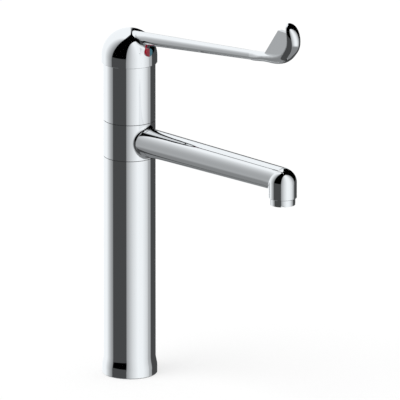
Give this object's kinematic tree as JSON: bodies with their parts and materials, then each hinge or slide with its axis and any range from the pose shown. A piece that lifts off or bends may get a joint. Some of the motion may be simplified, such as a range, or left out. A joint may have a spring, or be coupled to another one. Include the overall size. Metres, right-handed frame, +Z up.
{
  "type": "elbow lever tap",
  "caption": "Tall chrome pillar basin mixer with a straight swivelling spout and a long elbow lever that ends in an upturned paddle.",
  "frame": {"origin": "middle of the foot's underside, on the deck", "axes": "+Z up along the column, +X along the spout and the lever towards the user, +Y to the user's right, the cold side"},
  "size_m": [0.2573, 0.0536, 0.3912],
  "materials": {
    "chrome": "polished chrome plate on brass",
    "brass": "machined",
    "steel": "turned stainless steel",
    "rubber": "matte black",
    "dark_plastic": "dark matte",
    "grey_plastic": "grey matte",
    "white_plastic": "off-white matte",
    "ceramic": "lapped white ceramic",
    "red": "glossy red",
    "blue": "glossy blue"
  },
  "bodies": {
    "column": {"column": "chrome", "deck_seal": "rubber", "base_plate": "brass", "plate_clip": "steel", "hot_riser": "steel", "cold_riser": "steel", "riser_seals": "rubber", "valve_body": "chrome", "lower_slide_ring": "dark_plastic", "upper_slide_ring": "dark_plastic", "lower_spout_seal": "rubber", "upper_spout_seal": "rubber", "spout_stop_pin": "steel", "cartridge_base": "white_plastic", "port_seals": "rubber", "cartridge_housing": "white_plastic", "fixed_disc": "ceramic", "cartridge_nut": "brass", "cartridge_cover": "dark_plastic"},
    "spout": {"spout": "chrome", "aerator_housing": "chrome", "aerator_insert": "grey_plastic", "aerator_seal": "rubber"},
    "rotor": {"stem_carrier": "white_plastic", "pivot_pin": "steel", "limit_ring": "white_plastic"},
    "disc_carriage": {"moving_disc": "ceramic", "disc_carrier": "white_plastic"},
    "lever": {"lever": "chrome", "spindle": "steel", "grub_screw": "steel", "hot_mark": "red", "cold_mark": "blue"}
  },
  "joints": [
    {"name": "spout_swivel", "type": "hinge", "parent": "column", "child": "spout", "pos_m": [0, 0, 0.23515], "axis": [0, 0, 1], "range_deg": [-70, 70]},
    {"name": "temperature_turn", "type": "hinge", "parent": "column", "child": "rotor", "pos_m": [0, 0, 0.3], "axis": [0, 0, 1], "range_deg": [-50, 50]},
    {"name": "lever_lift", "type": "hinge", "parent": "rotor", "child": "lever", "pos_m": [0, 0, 0.3], "axis": [0, -1, 0], "range_deg": [0, 25]},
    {"name": "disc_slide", "type": "slide", "parent": "rotor", "child": "disc_carriage", "axis": [1, 0, 0], "range_m": [0, 0.00584]}
  ],
  "couplings": [
    {"joint": "disc_slide", "follows": "lever_lift", "m_per_rad": 0.013393}
  ]
}
